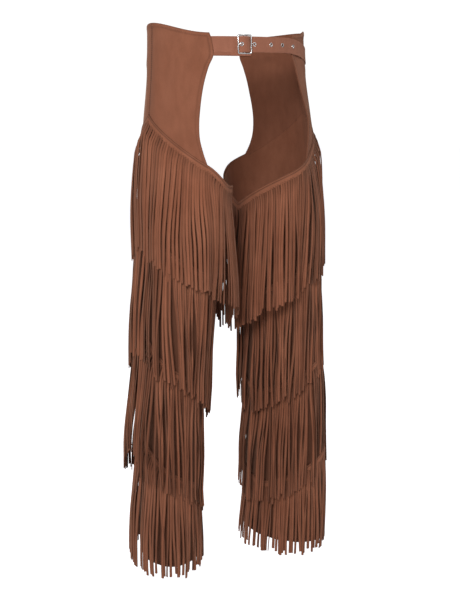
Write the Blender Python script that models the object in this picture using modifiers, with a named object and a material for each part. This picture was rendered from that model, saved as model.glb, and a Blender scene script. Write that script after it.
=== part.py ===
"""Fringed suede chaps, worn open at the front and the seat.

The garment keeps the hollow form that it has when worn: two hip yokes hang from
a waist belt, and each carries one full leg with four slanting tiers of fringe.
+X is the wearer's left, -Y the front and +Z up. The origin is the middle of the
waist, at the height of the belt. Lengths are in metres and angles in degrees.
"""
import math
from collections import namedtuple

import bmesh
import bpy
from mathutils import Matrix, Vector

# ---------------------------------------------------------------- dimensions
WALL = 0.0012              # one layer of suede
SEAM_GAP = 0.0003          # clearance between pieces that are sewn together
SEAM_TURN = 0.12           # half of that clearance, as an angle round a leg

YOKE_TOP = 0.036           # height of the yoke's top edge at the side seam
YOKE_TOP_DROP = 0.0165     # how much lower that edge is at the front and back corners

HEM_HEIGHT = -0.915        # bottom edge of the leg panels
TIER_COUNT = 4
ROWS_PER_TIER = 3
LEG_COLUMNS = 12           # facets from the side seam to the inseam
YOKE_COLUMNS = 8

FRINGE_THICKNESS = 0.0035  # depth that one tier of strands fills
FRINGE_TIP_LIFT = 0.0095   # how far the tips stand off the leg form
FRINGE_RISE = 0.16         # fall over which a tier reaches that lift

INSEAM_CLEARANCE = 0.013   # least distance from the middle plane to a leg form
INSEAM_SOFTNESS = 0.012

BELT_WIDTH = 0.0255
BELT_COLUMNS = 2
BELT_HEIGHT = 0.001        # height of the belt's middle line at the buckle
BELT_DROOP = 0.020         # how far the belt sinks on its way round the left hip
BELT_DROOP_START = 22.0
BELT_DROOP_SPAN = 60.0
BELT_TIP_ROUNDING = 0.010

BUCKLE_BEARING = -11.4
FRAME_WIRE = 0.0013        # radius of the buckle's frame
FRAME_HALF_LENGTH = 0.0120
FRAME_CORNER = 0.0028
FRAME_LIFT = 0.0062        # side bars, above the waist form
BAR_WIRE = 0.0010          # radius of the centre bar
BAR_LIFT = 0.0039
FOLD_RADIUS = 0.0019       # middle of the strap that is folded round the bar
PRONG_WIRE = 0.0008
PRONG_LOOP = 0.0021
PRONG_SLOT = 0.0036

EYELET_HOLE = 0.0025       # hole in the belt
EYELET_BARREL = 0.0022
EYELET_BORE = 0.0019
EYELET_FLANGE = 0.0034
EYELET_RIM = 0.0005
EYELETS = (-0.0057, 0.0193, 0.0529, 0.0802, 0.1105)   # from the buckle, along the belt

RIGHT, LEFT = -1, 1
FRONT, BACK = 1, -1
SIDES = {"right": RIGHT, "left": LEFT}
FACES = {"front": FRONT, "back": BACK}

# --------------------------------------------------------------- worn form
HipSection = namedtuple("HipSection", "height sway half_width front_depth back_depth")
HIP = (
    HipSection(0.045, -0.001, 0.1485, 0.092, 0.098),
    HipSection(0.000, -0.001, 0.1490, 0.094, 0.099),
    HipSection(-0.055, 0.000, 0.1525, 0.098, 0.105),
    HipSection(-0.125, 0.003, 0.1620, 0.103, 0.113),
    HipSection(-0.195, 0.004, 0.1705, 0.106, 0.118),
    HipSection(-0.295, 0.003, 0.1785, 0.106, 0.117),
    HipSection(-0.400, 0.002, 0.1820, 0.106, 0.118),
)
LegSection = namedtuple("LegSection", "height centre half_width half_depth turned_out")
LEG = (
    LegSection(0.045, 0.085, 0.070, 0.095, 0.0),
    LegSection(-0.125, 0.085, 0.080, 0.105, 0.0),
    LegSection(-0.295, 0.098, 0.074, 0.098, 4.0),
    LegSection(-0.445, 0.110, 0.064, 0.088, 10.0),
    LegSection(-0.615, 0.119, 0.056, 0.082, 18.0),
    LegSection(-0.795, 0.121, 0.055, 0.084, 22.0),
    LegSection(-0.935, 0.121, 0.056, 0.085, 24.0),
)
CROTCH_START, CROTCH_SPAN = -0.17, 0.16    # heights over which hip turns into leg
INNER_LEAD = 0.14          # how much higher that happens at the inner thigh
INNER_START, INNER_SPAN = 60.0, 80.0

# How a leg stands away from the middle of a level stance.
Stance = namedtuple("Stance", "stride drop")
STANCE = {RIGHT: Stance(0.020, 0.0), LEFT: Stance(-0.020, 0.011)}
STRIDE_START, STRIDE_SPAN = -0.25, 0.65
DROP_START, DROP_SPAN = -0.20, 0.20

# ------------------------------------------------------------- cutting lines
# Each line slants down from the side seam over the front to the inseam.
Slant = namedtuple("Slant", "at_side at_front at_inseam")
HEADERS = (
    Slant(-0.112, -0.201, -0.271),
    Slant(-0.288, -0.375, -0.442),
    Slant(-0.472, -0.572, -0.625),
    Slant(-0.660, -0.765, -0.812),
    Slant(HEM_HEIGHT, HEM_HEIGHT, HEM_HEIGHT),
)
TIPS = (
    Slant(-0.338, -0.418, -0.500),
    Slant(-0.515, -0.608, -0.670),
    Slant(-0.700, -0.803, -0.856),
    Slant(-0.938, -0.938, -0.938),
)
# Where the first header curls in over the front of a thigh, it dips below its slant.
Dip = namedtuple("Dip", "turn spread depth")
HEADER_DIP = {RIGHT: Dip(107.0, 24.0, 0.012), LEFT: Dip(107.0, 24.0, 0.0)}
# The yoke's open edge: how far round the hip it reaches at each share of its height.
OpenEdge = namedtuple("OpenEdge", "share front_right front_left back")
OPEN_EDGE = (
    OpenEdge(0.00, 90.0, 94.0, 91.0),
    OpenEdge(0.04, 92.0, 95.5, 93.0),
    OpenEdge(0.15, 93.5, 95.5, 93.0),
    OpenEdge(0.24, 87.5, 89.5, 88.0),
    OpenEdge(0.35, 81.8, 83.0, 83.0),
    OpenEdge(0.46, 77.5, 76.5, 79.5),
    OpenEdge(0.58, 74.3, 70.0, 76.5),
    OpenEdge(0.70, 72.5, 65.0, 75.0),
    OpenEdge(0.82, 73.3, 65.5, 76.0),
    OpenEdge(0.92, 78.0, 72.5, 80.0),
    OpenEdge(1.00, 83.5, 82.0, 86.0),
)

# Straps: the middle of the leather, lifted off the waist form, at each distance
# along the belt from the buckle. Below zero it is tucked inside a yoke.
StrapStop = namedtuple("StrapStop", "along lift")
BELT_ROUTE = (
    StrapStop(-0.076, -0.0016),
    StrapStop(-0.064, -0.0016),
    StrapStop(-0.056, -0.0014),
    StrapStop(-0.046, 0.0004),
    StrapStop(-0.034, 0.0012),
    StrapStop(-0.022, 0.0018),
    StrapStop(-0.015, 0.0020),
    StrapStop(-0.012, 0.0026),
    StrapStop(-0.0095, 0.0050),
    StrapStop(-0.0070, 0.0070),
    StrapStop(-0.0035, 0.0078),
    StrapStop(0.0000, 0.0080),
    StrapStop(0.0035, 0.0076),
    StrapStop(0.0070, 0.0062),
    StrapStop(0.0100, 0.0042),
    StrapStop(0.0130, 0.0034),
    StrapStop(0.022, 0.0033),
    StrapStop(0.038, 0.0033),
    StrapStop(0.053, 0.0034),
    StrapStop(0.068, 0.0033),
    StrapStop(0.084, 0.0029),
    StrapStop(0.098, 0.0026),
    StrapStop(0.111, 0.0026),
    StrapStop(0.124, 0.0026),
    StrapStop(0.137, 0.0026),
    StrapStop(0.150, 0.0026),
    StrapStop(0.163, 0.0026),
    StrapStop(0.176, 0.0026),
    StrapStop(0.189, 0.0026),
    StrapStop(0.202, 0.0026),
    StrapStop(0.215, 0.0026),
    StrapStop(0.224, 0.0026),
    StrapStop(0.229, 0.0026),
    StrapStop(0.232, 0.0026),
    StrapStop(0.2336, 0.0026),
)
BUCKLE_STRAP_OUTER = (
    StrapStop(0.125, -0.0016),
    StrapStop(0.112, -0.0016),
    StrapStop(0.101, -0.0014),
    StrapStop(0.091, 0.0004),
    StrapStop(0.078, 0.0012),
    StrapStop(0.062, 0.0016),
    StrapStop(0.045, 0.0016),
    StrapStop(0.030, 0.0016),
    StrapStop(0.016, 0.0016),
    StrapStop(0.0115, 0.0018),
    StrapStop(0.0080, 0.0028),
    StrapStop(0.0045, 0.0046),
)
BUCKLE_STRAP_INNER = (
    StrapStop(0.0045, 0.0013),
    StrapStop(0.0080, 0.0005),
    StrapStop(0.0120, 0.0001),
    StrapStop(0.0185, 0.0001),
    StrapStop(0.0250, 0.0001),
)
FOLD_STEPS = 8
PRONG_ROUTE = (
    StrapStop(-0.0022, 0.0055),
    StrapStop(-0.0040, 0.0056),
    StrapStop(-0.0049, 0.0064),
    StrapStop(-0.0058, 0.0080),
    StrapStop(-0.0068, 0.0095),
    StrapStop(-0.0080, 0.0101),
    StrapStop(-0.0098, 0.0100),
    StrapStop(-0.0120, 0.0089),
    StrapStop(-0.0136, 0.0087),
)
BACK_STRAP_LIFTS = ((138.0, -0.0012), (144.0, -0.0012), (149.5, -0.0011), (155.0, 0.0004),
                    (160.0, 0.0006), (167.0, 0.0006), (174.0, 0.0006), (180.0, 0.0006))

Finish = namedtuple("Finish", "colour metallic roughness")
SUEDE = Finish((0.262, 0.098, 0.053), 0.0, 0.9)
STEEL = Finish((0.62, 0.61, 0.60), 1.0, 0.28)


# -------------------------------------------------------------------- scene
def clear_scene():
    for obj in list(bpy.context.scene.objects):
        bpy.data.objects.remove(obj, do_unlink=True)


def make_collection(name):
    collection = bpy.data.collections.new(name)
    bpy.context.scene.collection.children.link(collection)
    return collection


def make_material(name, finish):
    material = bpy.data.materials.new(name)
    material.use_nodes = True
    shader = material.node_tree.nodes["Principled BSDF"]
    shader.inputs["Base Color"].default_value = (*finish.colour, 1.0)
    shader.inputs["Metallic"].default_value = finish.metallic
    shader.inputs["Roughness"].default_value = finish.roughness
    return material


def add_object(name, data, collection, finish=None):
    obj = bpy.data.objects.new(name, data)
    collection.objects.link(obj)
    if finish is not None:
        data.materials.append(make_material(name, finish))
    return obj


def mesh_from_curve(obj, collection):
    """Replace a curve object by its closed mesh, so that it can be joined or cut."""
    graph = bpy.context.evaluated_depsgraph_get()
    mesh = bpy.data.meshes.new_from_object(obj.evaluated_get(graph))
    bm = bmesh.new()
    bm.from_mesh(mesh)
    bmesh.ops.remove_doubles(bm, verts=bm.verts, dist=1e-6)
    bm.to_mesh(mesh)
    bm.free()
    solid = bpy.data.objects.new(obj.name + "_solid", mesh)
    solid.matrix_world = obj.matrix_world
    collection.objects.link(solid)
    bpy.data.objects.remove(obj, do_unlink=True)
    return solid


def boolean(target, other, operation):
    other.hide_render = True
    other.display_type = "WIRE"
    modifier = target.modifiers.new(operation.title(), "BOOLEAN")
    modifier.operation = operation
    modifier.solver = "EXACT"
    modifier.object = other


# --------------------------------------------------------------- worn form
def smooth(value):
    value = min(max(value, 0.0), 1.0)
    return value * value * (3.0 - 2.0 * value)


def read_section(table, height):
    """The row of a table at a height, on a smooth curve through its rows."""
    rows = table[::-1]
    height = min(max(height, rows[0].height), rows[-1].height)
    low = 0
    while low < len(rows) - 2 and rows[low + 1].height <= height:
        low += 1
    span = rows[low + 1].height - rows[low].height
    t = (height - rows[low].height) / span

    def slope(index, column):
        before, after = rows[max(index - 1, 0)], rows[min(index + 1, len(rows) - 1)]
        return (after[column] - before[column]) / (after.height - before.height)

    def column_value(column):
        start, end = rows[low][column], rows[low + 1][column]
        return (start * (2 * t ** 3 - 3 * t ** 2 + 1)
                + end * (3 * t ** 2 - 2 * t ** 3)
                + slope(low, column) * span * (t ** 3 - 2 * t ** 2 + t)
                + slope(low + 1, column) * span * (t ** 3 - t ** 2))

    return type(rows[0])(height, *(column_value(c) for c in range(1, len(rows[0]))))


def ellipse_reach(offset, direction, half_width, depth):
    """Distance from a point on the X axis to an ellipse about the origin."""
    dx, dy = direction
    a = (dx / half_width) ** 2 + (dy / depth) ** 2
    b = 2 * offset * dx / half_width ** 2
    c = (offset / half_width) ** 2 - 1
    return (-b + math.sqrt(max(b * b - 4 * a * c, 0.0))) / (2 * a)


def form_point(side, turn, height):
    """Point of the wearer's form. turn runs from the side seam (0) over the front
    (90) to the inseam (180), and is negative over the back."""
    hip = read_section(HIP, height)
    leg = read_section(LEG, height)
    angle = math.radians(turn)
    dx, dy = math.cos(angle), -math.sin(angle)
    hip_depth = hip.front_depth if dy < 0 else hip.back_depth
    hip_reach = ellipse_reach(leg.centre, (dx, dy), hip.half_width, hip_depth)

    out = math.radians(leg.turned_out)
    across = dx * math.cos(out) + dy * math.sin(out)
    along = dy * math.cos(out) - dx * math.sin(out)
    leg_reach = 1.0 / math.hypot(across / leg.half_width, along / leg.half_depth)

    lead = INNER_LEAD * smooth((abs(turn) - INNER_START) / INNER_SPAN)
    legness = smooth((CROTCH_START - height + lead) / CROTCH_SPAN)
    reach = hip_reach * (1.0 - legness) + leg_reach * legness
    outward = leg.centre + reach * dx
    spare = outward - INSEAM_CLEARANCE
    outward = INSEAM_CLEARANCE + 0.5 * (spare + math.hypot(spare, INSEAM_SOFTNESS))

    stance = STANCE[side]
    stride = stance.stride * smooth((STRIDE_START - height) / STRIDE_SPAN)
    drop = stance.drop * smooth((DROP_START - height) / DROP_SPAN)
    x = side * outward + hip.sway * (1.0 - legness)
    return Vector((x, reach * dy + stride, height - drop))


def lifted(point_at, u, v, lift, outward, step_u, step_v):
    """A point moved off the surface point_at(u, v) along its outward normal."""
    along_u = point_at(u + step_u, v) - point_at(u - step_u, v)
    along_v = point_at(u, v + step_v) - point_at(u, v - step_v)
    normal = along_u.cross(along_v).normalized()
    return point_at(u, v) - normal * outward * lift


def leg_point(side, turn, height, lift=0.0):
    return lifted(lambda t, z: form_point(side, t, z), turn, height, lift, side, 1.0, 0.004)


def waist_point(bearing, height, lift=0.0):
    """Point round the waist. bearing is 0 at the middle front and 90 at the left hip."""
    def at(b, z):
        hip = read_section(HIP, z)
        depth = hip.front_depth if abs(b) <= 90.0 else hip.back_depth
        angle = math.radians(b)
        return Vector((hip.half_width * math.sin(angle) + hip.sway, -depth * math.cos(angle), z))
    return lifted(at, bearing, height, lift, -1, 0.5, 0.004)


def slant_height(slant, turn):
    """Height of a cutting line: a parabola through its three stated heights."""
    share = abs(turn) / 180.0
    bend = 2.0 * (slant.at_side + slant.at_inseam - 2.0 * slant.at_front)
    fall = slant.at_inseam - slant.at_side
    return slant.at_side + (fall - bend) * share + bend * share * share


def header_height(tier, side, turn):
    height = slant_height(HEADERS[tier], turn)
    if tier == 0:
        dip = HEADER_DIP[side]
        height -= dip.depth * smooth(1.0 - abs(turn - dip.turn) / dip.spread)
    return height


# ------------------------------------------------------------------- sheets
def make_sheet(name, collection, columns, rows, place, thickness, offset, flip=False):
    """A flat grid laid on place(u, v), with v running down, then made a solid wall."""
    bm = bmesh.new()
    bmesh.ops.create_grid(bm, x_segments=columns, y_segments=rows, size=0.5)
    for vert in bm.verts:
        vert.co = place(vert.co.x + 0.5, 0.5 - vert.co.y)
    if flip:
        bmesh.ops.reverse_faces(bm, faces=bm.faces)
    mesh = bpy.data.meshes.new(name)
    bm.to_mesh(mesh)
    bm.free()
    mesh.shade_smooth()
    obj = add_object(name, mesh, collection, SUEDE)
    wall = obj.modifiers.new("Wall", "SOLIDIFY")
    wall.thickness = thickness
    wall.offset = offset
    return obj


def seam_turn(share, face):
    """Turn at a share of the way from the side seam to the inseam, clear of both."""
    return face * (SEAM_TURN + share * (180.0 - 2.0 * SEAM_TURN))


def lattice_height(row, side, turn):
    """Height of a leg row. Rows lie at equal shares between neighbouring headers."""
    tier = min(int(row // ROWS_PER_TIER), TIER_COUNT - 1)
    share = row / ROWS_PER_TIER - tier
    above = header_height(tier, side, turn)
    below = header_height(tier + 1, side, turn)
    return above + (below - above) * share


def make_leg_panel(collection, side_name, face_name):
    side, face = SIDES[side_name], FACES[face_name]
    rows = TIER_COUNT * ROWS_PER_TIER

    def place(u, v):
        turn = seam_turn(u, face)
        return leg_point(side, turn, lattice_height(round(v * rows), side, turn))

    name = "leg_panel_{}_{}".format(face_name, side_name)
    make_sheet(name, collection, LEG_COLUMNS, rows, place, WALL, 1.0, flip=side * face > 0)


def make_fringe(collection, tier, side_name, face_name):
    """One tier of fringe: its header is sewn on the panel and its tips stand off."""
    side, face = SIDES[side_name], FACES[face_name]
    rows = ROWS_PER_TIER + 1
    header_lift = WALL + 2 * SEAM_GAP

    def place(u, v):
        turn = seam_turn(u, face)
        row = round(v * rows)
        top = header_height(tier, side, turn)
        if row < rows:
            height = lattice_height(tier * ROWS_PER_TIER + row, side, turn)
        else:
            height = slant_height(TIPS[tier], turn)
        rise = smooth((top - height) / FRINGE_RISE)
        lift = header_lift + (FRINGE_TIP_LIFT - header_lift) * rise
        return leg_point(side, turn, height, lift)

    name = "fringe_{}_{}_{}".format(tier + 1, face_name, side_name)
    make_sheet(name, collection, LEG_COLUMNS, rows, place, FRINGE_THICKNESS, 1.0,
               flip=side * face > 0)


def open_edge_turn(column, share):
    for upper, lower in zip(OPEN_EDGE, OPEN_EDGE[1:]):
        if share <= lower.share:
            part = (share - upper.share) / (lower.share - upper.share)
            start, end = getattr(upper, column), getattr(lower, column)
            return start + (end - start) * part
    return getattr(OPEN_EDGE[-1], column)


def make_yoke(collection, side_name, face_name):
    """Hip yoke, from the side seam to its open edge, hung over tier one's header."""
    side, face = SIDES[side_name], FACES[face_name]
    column = "back" if face == BACK else "front_" + side_name
    rows = len(OPEN_EDGE) - 1

    def place(u, v):
        share = OPEN_EDGE[round(v * rows)].share
        turn = face * (SEAM_TURN + u * (open_edge_turn(column, share) - SEAM_TURN))
        top = YOKE_TOP - YOKE_TOP_DROP * smooth(abs(turn) / 90.0)
        bottom = header_height(0, side, turn) + 2 * SEAM_GAP
        return leg_point(side, turn, top + (bottom - top) * share)

    name = "yoke_{}_{}".format(face_name, side_name)
    make_sheet(name, collection, YOKE_COLUMNS, rows, place, WALL, 1.0, flip=side * face > 0)


# --------------------------------------------------------------------- belt
def bearing_at(along):
    """Bearing of a point that lies a distance along the belt from the buckle."""
    waist = read_section(HIP, 0.0)
    step = math.radians(0.5) * (1 if along > 0 else -1)
    angle = math.radians(BUCKLE_BEARING)
    left = abs(along)
    while left > 0:
        depth = waist.front_depth if abs(angle) < math.pi / 2 else waist.back_depth
        speed = math.hypot(waist.half_width * math.cos(angle), depth * math.sin(angle))
        move = min(abs(step), left / speed)
        angle += math.copysign(move, step)
        left -= max(move * speed, 1e-9)
    return math.degrees(angle)


def belt_point(along, across, lift):
    bearing = bearing_at(along)
    droop = BELT_DROOP * smooth((bearing - BELT_DROOP_START) / BELT_DROOP_SPAN)
    return waist_point(bearing, BELT_HEIGHT - droop + across, lift)


def make_strap(name, collection, stops, point_at, half_width_at):
    def place(u, v):
        stop = stops[round(v * (len(stops) - 1))]
        return point_at(stop, (u - 0.5) * 2.0 * half_width_at(stop))
    return make_sheet(name, collection, BELT_COLUMNS, len(stops) - 1, place, WALL, 0.0)


def belt_stop_point(stop, across):
    return belt_point(stop.along, across, stop.lift)


def belt_half_width(stop):
    """Half of the belt's width, rounded off at its tip."""
    to_tip = BELT_ROUTE[-1].along - stop.along + 0.0009
    if to_tip >= BELT_TIP_ROUNDING:
        return BELT_WIDTH / 2
    return BELT_WIDTH / 2 * math.sqrt(1 - (1 - to_tip / BELT_TIP_ROUNDING) ** 2)


def belt_frame(along):
    """Matrix at the belt: X along it, Y up across it and Z outward, on the form."""
    origin = belt_point(along, 0.0, 0.0)
    outward = (belt_point(along, 0.0, 0.01) - origin).normalized()
    ahead = belt_point(along + 0.001, 0.0, 0.0) - belt_point(along - 0.001, 0.0, 0.0)
    across = outward.cross(ahead).normalized()
    ahead = across.cross(outward)
    return Matrix.Translation(origin) @ Matrix((ahead, across, outward)).transposed().to_4x4()


def strap_frame(along):
    """The belt's matrix, raised and tilted to the middle of the belt strap."""
    for start, end in zip(BELT_ROUTE, BELT_ROUTE[1:]):
        if start.along <= along <= end.along:
            part = (along - start.along) / (end.along - start.along)
            lift = start.lift + (end.lift - start.lift) * part
            tilt = math.atan2(end.lift - start.lift, end.along - start.along)
            return (belt_frame(along) @ Matrix.Translation((0, 0, lift))
                    @ Matrix.Rotation(-tilt, 4, "Y"))
    raise ValueError("the belt does not reach that far")


def make_belt_strap(collection, cutters):
    belt = make_strap("belt_strap", collection, BELT_ROUTE, belt_stop_point, belt_half_width)
    for number, along in enumerate(EYELETS, 1):
        bm = bmesh.new()
        bmesh.ops.create_cone(bm, cap_ends=True, segments=16, radius1=EYELET_HOLE,
                              radius2=EYELET_HOLE, depth=4 * WALL)
        bm.transform(strap_frame(along))
        mesh = bpy.data.meshes.new("hole_{}".format(number))
        bm.to_mesh(mesh)
        bm.free()
        cutter = add_object("hole_{}".format(number), mesh, cutters)
        boolean(belt, cutter, "DIFFERENCE")


def make_buckle_strap(collection, cutters):
    """Short strap from the left yoke, folded round the buckle's centre bar."""
    fold = []
    for step in range(FOLD_STEPS + 1):
        angle = math.radians(75.0 + 210.0 * step / FOLD_STEPS)
        fold.append(StrapStop(FOLD_RADIUS * math.cos(angle),
                              BAR_LIFT + FOLD_RADIUS * math.sin(angle)))
    stops = list(BUCKLE_STRAP_OUTER) + fold + list(BUCKLE_STRAP_INNER)
    strap = make_strap("buckle_strap", collection, stops, belt_stop_point,
                       lambda stop: BELT_WIDTH / 2)

    bm = bmesh.new()
    bmesh.ops.create_cube(bm, size=1.0)
    bmesh.ops.scale(bm, vec=(0.010, PRONG_SLOT, 0.012), verts=bm.verts)
    bm.transform(belt_frame(0.0) @ Matrix.Translation((0.0008, 0, BAR_LIFT)))
    mesh = bpy.data.meshes.new("prong_slot")
    bm.to_mesh(mesh)
    bm.free()
    boolean(strap, add_object("prong_slot", mesh, cutters), "DIFFERENCE")


def make_wire(name, collection, points, radius, cyclic=False, finish=None, sides=2):
    curve = bpy.data.curves.new(name, "CURVE")
    curve.dimensions = "3D"
    curve.bevel_depth = radius
    curve.bevel_resolution = sides
    curve.use_fill_caps = True
    spline = curve.splines.new("POLY")
    spline.points.add(len(points) - 1)
    for slot, point in zip(spline.points, points):
        slot.co = (*point, 1.0)
    spline.use_cyclic_u = cyclic
    return add_object(name, curve, collection, finish)


def frame_outline():
    """Rounded rectangle of the buckle's frame, bowed out over the centre bar."""
    half_height = BELT_WIDTH / 2 + 2 * SEAM_GAP + FRAME_WIRE
    points = []
    corners = ((1, 1, 0.0), (-1, 1, 90.0), (-1, -1, 180.0), (1, -1, 270.0))
    for along_sign, up_sign, start in corners:
        centre = (along_sign * (FRAME_HALF_LENGTH - FRAME_CORNER),
                  up_sign * (half_height - FRAME_CORNER))
        for step in range(4):
            angle = math.radians(start + 30.0 * step)
            points.append((centre[0] + FRAME_CORNER * math.cos(angle),
                           centre[1] + FRAME_CORNER * math.sin(angle)))
        if along_sign * up_sign > 0:
            points.append((along_sign * 0.5 * FRAME_HALF_LENGTH, up_sign * half_height))
            points.append((0.0, up_sign * half_height))
            points.append((-along_sign * 0.5 * FRAME_HALF_LENGTH, up_sign * half_height))
    bow = (FRAME_LIFT - BAR_LIFT) / FRAME_HALF_LENGTH ** 2
    place = belt_frame(0.0)
    return [place @ Vector((x, y, BAR_LIFT + bow * x * x)) for x, y in points], half_height


def make_buckle(collection, cutters):
    outline, half_height = frame_outline()
    ring = make_wire("frame_ring", cutters, outline, FRAME_WIRE, cyclic=True)
    frame = mesh_from_curve(ring, collection)
    frame.name = "buckle_frame"
    frame.data.materials.clear()
    frame.data.materials.append(make_material("buckle_frame", STEEL))

    bm = bmesh.new()
    bmesh.ops.create_cone(bm, cap_ends=True, segments=12, radius1=BAR_WIRE,
                          radius2=BAR_WIRE, depth=2 * half_height)
    bm.transform(belt_frame(0.0) @ Matrix.Translation((0, 0, BAR_LIFT))
                 @ Matrix.Rotation(math.pi / 2, 4, "X"))
    mesh = bpy.data.meshes.new("centre_bar")
    bm.to_mesh(mesh)
    bm.free()
    boolean(frame, add_object("centre_bar", mesh, cutters), "UNION")


def make_prong(collection):
    """Wire prong: an open loop round the centre bar, up through the first eyelet."""
    place = belt_frame(0.0)
    points = []
    for step in range(10):
        angle = math.radians(-150.0 + 27.0 * step)
        points.append(place @ Vector((PRONG_LOOP * math.cos(angle), 0.0,
                                      BAR_LIFT + PRONG_LOOP * math.sin(angle))))
    for stop in PRONG_ROUTE:
        points.append(place @ Vector((stop.along, 0.0, stop.lift)))
    make_wire("buckle_prong", collection, points, PRONG_WIRE, finish=STEEL)


def make_eyelet(collection, number, along):
    """Turned ring: a barrel in the belt's hole and a flange on its outer face."""
    face = WALL / 2 + SEAM_GAP
    profile = (
        (EYELET_BORE, face + EYELET_RIM),
        (EYELET_FLANGE - 0.0003, face + EYELET_RIM),
        (EYELET_FLANGE, face + EYELET_RIM / 2),
        (EYELET_FLANGE, face),
        (EYELET_BARREL, face),
        (EYELET_BARREL, -WALL / 2),
        (EYELET_BORE, -WALL / 2),
    )
    name = "eyelet_{}".format(number)
    bm = bmesh.new()
    verts = [bm.verts.new((radius, 0.0, height)) for radius, height in profile]
    for start, end in zip(verts, verts[1:] + verts[:1]):
        bm.edges.new((start, end))
    mesh = bpy.data.meshes.new(name)
    bm.to_mesh(mesh)
    bm.free()
    obj = add_object(name, mesh, collection, STEEL)
    obj.matrix_world = strap_frame(along)
    turn = obj.modifiers.new("Turn", "SCREW")
    turn.steps = 16
    turn.render_steps = 16
    turn.use_merge_vertices = True
    turn.merge_threshold = 0.00001
    turn.use_normal_calculate = True


def make_back_strap(collection):
    """Plain strap that joins the two back yokes across the small of the back."""
    stops = [StrapStop(bearing, lift) for bearing, lift in BACK_STRAP_LIFTS]
    stops += [StrapStop(360.0 - stop.along, stop.lift) for stop in stops[-2::-1]]
    make_strap("back_strap", collection, stops,
               lambda stop, across: waist_point(stop.along, across, stop.lift),
               lambda stop: BELT_WIDTH / 2)


def build():
    clear_scene()
    chaps = make_collection("fringed_chaps")
    cutters = make_collection("cutters")
    for side_name in SIDES:
        for face_name in FACES:
            make_yoke(chaps, side_name, face_name)
            make_leg_panel(chaps, side_name, face_name)
            for tier in range(TIER_COUNT):
                make_fringe(chaps, tier, side_name, face_name)
    make_belt_strap(chaps, cutters)
    make_buckle_strap(chaps, cutters)
    make_buckle(chaps, cutters)
    make_prong(chaps)
    for number, along in enumerate(EYELETS, 1):
        make_eyelet(chaps, number, along)
    make_back_strap(chaps)


build()
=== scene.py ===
"""Looks of the fringed suede chaps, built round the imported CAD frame.

The worn form, the cutting lines and the straps follow the same formulas as the
solids. Lengths are in metres and angles in degrees. +X is the wearer's left, -Y
the front and +Z up.
"""
import math
from collections import namedtuple

import bmesh
import bpy
import numpy as np
from mathutils import Matrix, Vector


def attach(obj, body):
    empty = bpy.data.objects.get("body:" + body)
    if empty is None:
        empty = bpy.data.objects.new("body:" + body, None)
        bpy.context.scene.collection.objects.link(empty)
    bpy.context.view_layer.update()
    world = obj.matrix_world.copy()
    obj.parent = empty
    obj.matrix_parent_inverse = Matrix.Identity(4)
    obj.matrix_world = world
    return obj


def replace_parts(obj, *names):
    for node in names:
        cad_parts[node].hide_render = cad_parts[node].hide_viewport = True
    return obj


# ---------- the four halves
RIGHT, LEFT = -1, 1
FRONT, BACK = 1, -1
Half = namedtuple("Half", "name side face")
HALVES = (
    Half("front_right", RIGHT, FRONT),
    Half("back_right", RIGHT, BACK),
    Half("front_left", LEFT, FRONT),
    Half("back_left", LEFT, BACK),
)

# ---------- dimensions
WALL = 0.0012              # one layer of suede
SEAM_GAP = 0.0003          # clearance between pieces that are sewn together
SEAM_TURN = 0.12           # half of that clearance, as an angle round a leg
STRIP_LIFT = 2 * SEAM_GAP + 2 * WALL   # from the worn form to a fringe strip's outer face

# A shallow groove, or the shade along a line: its depth there and its half width.
Dent = namedtuple("Dent", "depth width")

YOKE_CORNER = 0.0195       # height of a yoke's top edge at its front and back corners
YOKE_UNDERLAP = 0.0040     # leather of the yoke behind the first fringe strip
# How much higher the top edge stands at the side seam, and the small peak on it that
# stands up beside the end of the belt.
YokeTop = namedtuple("YokeTop", "rise peak")
YOKE_TOPS = {RIGHT: YokeTop(0.0165, 0.0), LEFT: YokeTop(0.0065, 0.0040)}
PEAK_TURN, PEAK_SPAN = 27.0, 14.0
YOKE_GRID_WIDTH, YOKE_COLUMNS = 0.165, 60
YOKE_GRID_DEPTH, YOKE_ROWS = 0.26, 44

# A yoke's turned edge: distances from it at which the grid has lines, and its relief.
HEM_STOPS = (0.0, 0.0003, 0.0009, 0.0024, 0.0048, 0.0060, 0.0067, 0.0075, 0.0082, 0.0090)
HEM_STITCH_LINE = 5        # the stitches run along this grid line
BEYOND_HEM = 0.0115
HEM_END = 0.0083           # where the doubled leather ends
HEM_END_SPAN = 0.0010
HEM_STEP = 0.0005          # how proud it stands
HEM_ROUNDING, HEM_ROUNDING_SPAN = 0.0006, 0.0009
HEM_GROOVE_AT = 0.0062
HEM_GROOVE = Dent(0.00035, 0.0007)
SEAM_GROOVE = Dent(0.0005, 0.0014)
HEM_EDGE_SHADE = Dent(0.30, 0.0011)
HEM_STITCH_SHADE = Dent(0.22, 0.0010)
SEAM_SHADE = Dent(0.25, 0.0012)
INNER_TONE = 0.8           # colour of the leather's inner face beside the outer one's

HEM_HEIGHT = -0.915        # bottom edge of the leg panels
HEM_LENGTHENING = 0.012    # a soft panel hangs out this much longer
PANEL_COLUMNS, PANEL_ROWS = 37, 70
PANEL_PAINTED_SHADE = 0.45          # painted shade: the panels lie in the shade of their fringe
PANEL_INSET = 0.0002
RIPPLE = 0.0008            # soft waves round and down a panel
RIPPLE_TURNS, RIPPLE_RISE = 9.0, 36.0

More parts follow.
